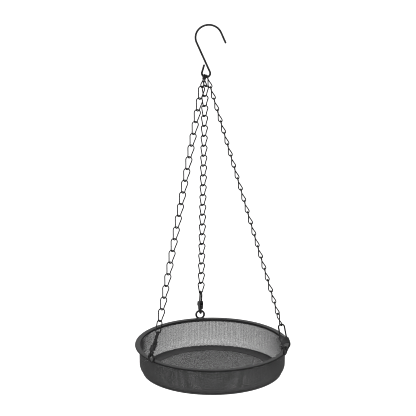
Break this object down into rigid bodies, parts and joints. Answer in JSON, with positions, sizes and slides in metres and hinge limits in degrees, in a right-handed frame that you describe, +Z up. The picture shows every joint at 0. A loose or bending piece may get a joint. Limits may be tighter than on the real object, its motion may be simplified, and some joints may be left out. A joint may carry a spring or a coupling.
{
  "type": "hanging tray bird feeder",
  "caption": "Round hanging platform bird feeder: a shallow mesh tray with a rolled rim, held by chains with snap clasps on an S hook.",
  "frame": {"origin": "centre of the tray's underside", "axes": "+Z up; the hook lies in the XZ plane and -Y faces the viewer"},
  "size_m": [0.3016, 0.309, 0.7086],
  "materials": {
    "black_paint": "satin black powder coat on steel sheet",
    "black_mesh": "satin black powder coat on expanded steel",
    "black_wire": "satin black coating on steel wire",
    "black_clasp": "satin black coating on a die-cast zinc clasp",
    "dark_steel": "blackened steel"
  },
  "bodies": {
    "hook": {"s_hook": "black_wire"},
    "feeder": {"rim_band": "black_paint", "wall_mesh": "black_mesh", "base_band": "black_paint", "floor_mesh": "black_mesh", "rim_ring_back": "black_paint", "chain_back": "black_wire", "clasp_body_back": "black_clasp", "clasp_pin_back": "dark_steel", "clasp_spring_back": "dark_steel", "rim_ring_left": "black_paint", "chain_left": "black_wire", "clasp_body_left": "black_clasp", "clasp_pin_left": "dark_steel", "clasp_spring_left": "dark_steel", "rim_ring_right": "black_paint", "chain_right": "black_wire", "clasp_body_right": "black_clasp", "clasp_pin_right": "dark_steel", "clasp_spring_right": "dark_steel"},
    "lever_back": {"clasp_lever_back": "black_clasp"},
    "lever_left": {"clasp_lever_left": "black_clasp"},
    "lever_right": {"clasp_lever_right": "black_clasp"}
  },
  "joints": [
    {"name": "swing", "type": "hinge", "parent": "hook", "child": "feeder", "pos_m": [-0.012, 0, 0.6013], "axis": [1, 0, 0], "range_deg": [-30, 30]},
    {"name": "lever_back", "type": "hinge", "parent": "feeder", "child": "lever_back", "pos_m": [-0.02184, 0.1409, 0.0837], "axis": [0.9651, 0.2599, 0.0317], "range_deg": [0, 28], "stiffness_Nm_per_rad": 0.002, "springref_deg": -28.65, "deforming": ["clasp_spring_back"]},
    {"name": "lever_left", "type": "hinge", "parent": "feeder", "child": "lever_left", "pos_m": [-0.11167, -0.08835, 0.08349], "axis": [-0.9115, 0.3516, 0.2132], "range_deg": [0, 28], "stiffness_Nm_per_rad": 0.002, "springref_deg": -28.65, "deforming": ["clasp_spring_left"]},
    {"name": "lever_right", "type": "hinge", "parent": "feeder", "child": "lever_right", "pos_m": [0.13383, -0.0527, 0.08436], "axis": [0, -0.9949, 0.1007], "range_deg": [0, 28], "stiffness_Nm_per_rad": 0.002, "springref_deg": -28.65, "deforming": ["clasp_spring_right"]}
  ]
}
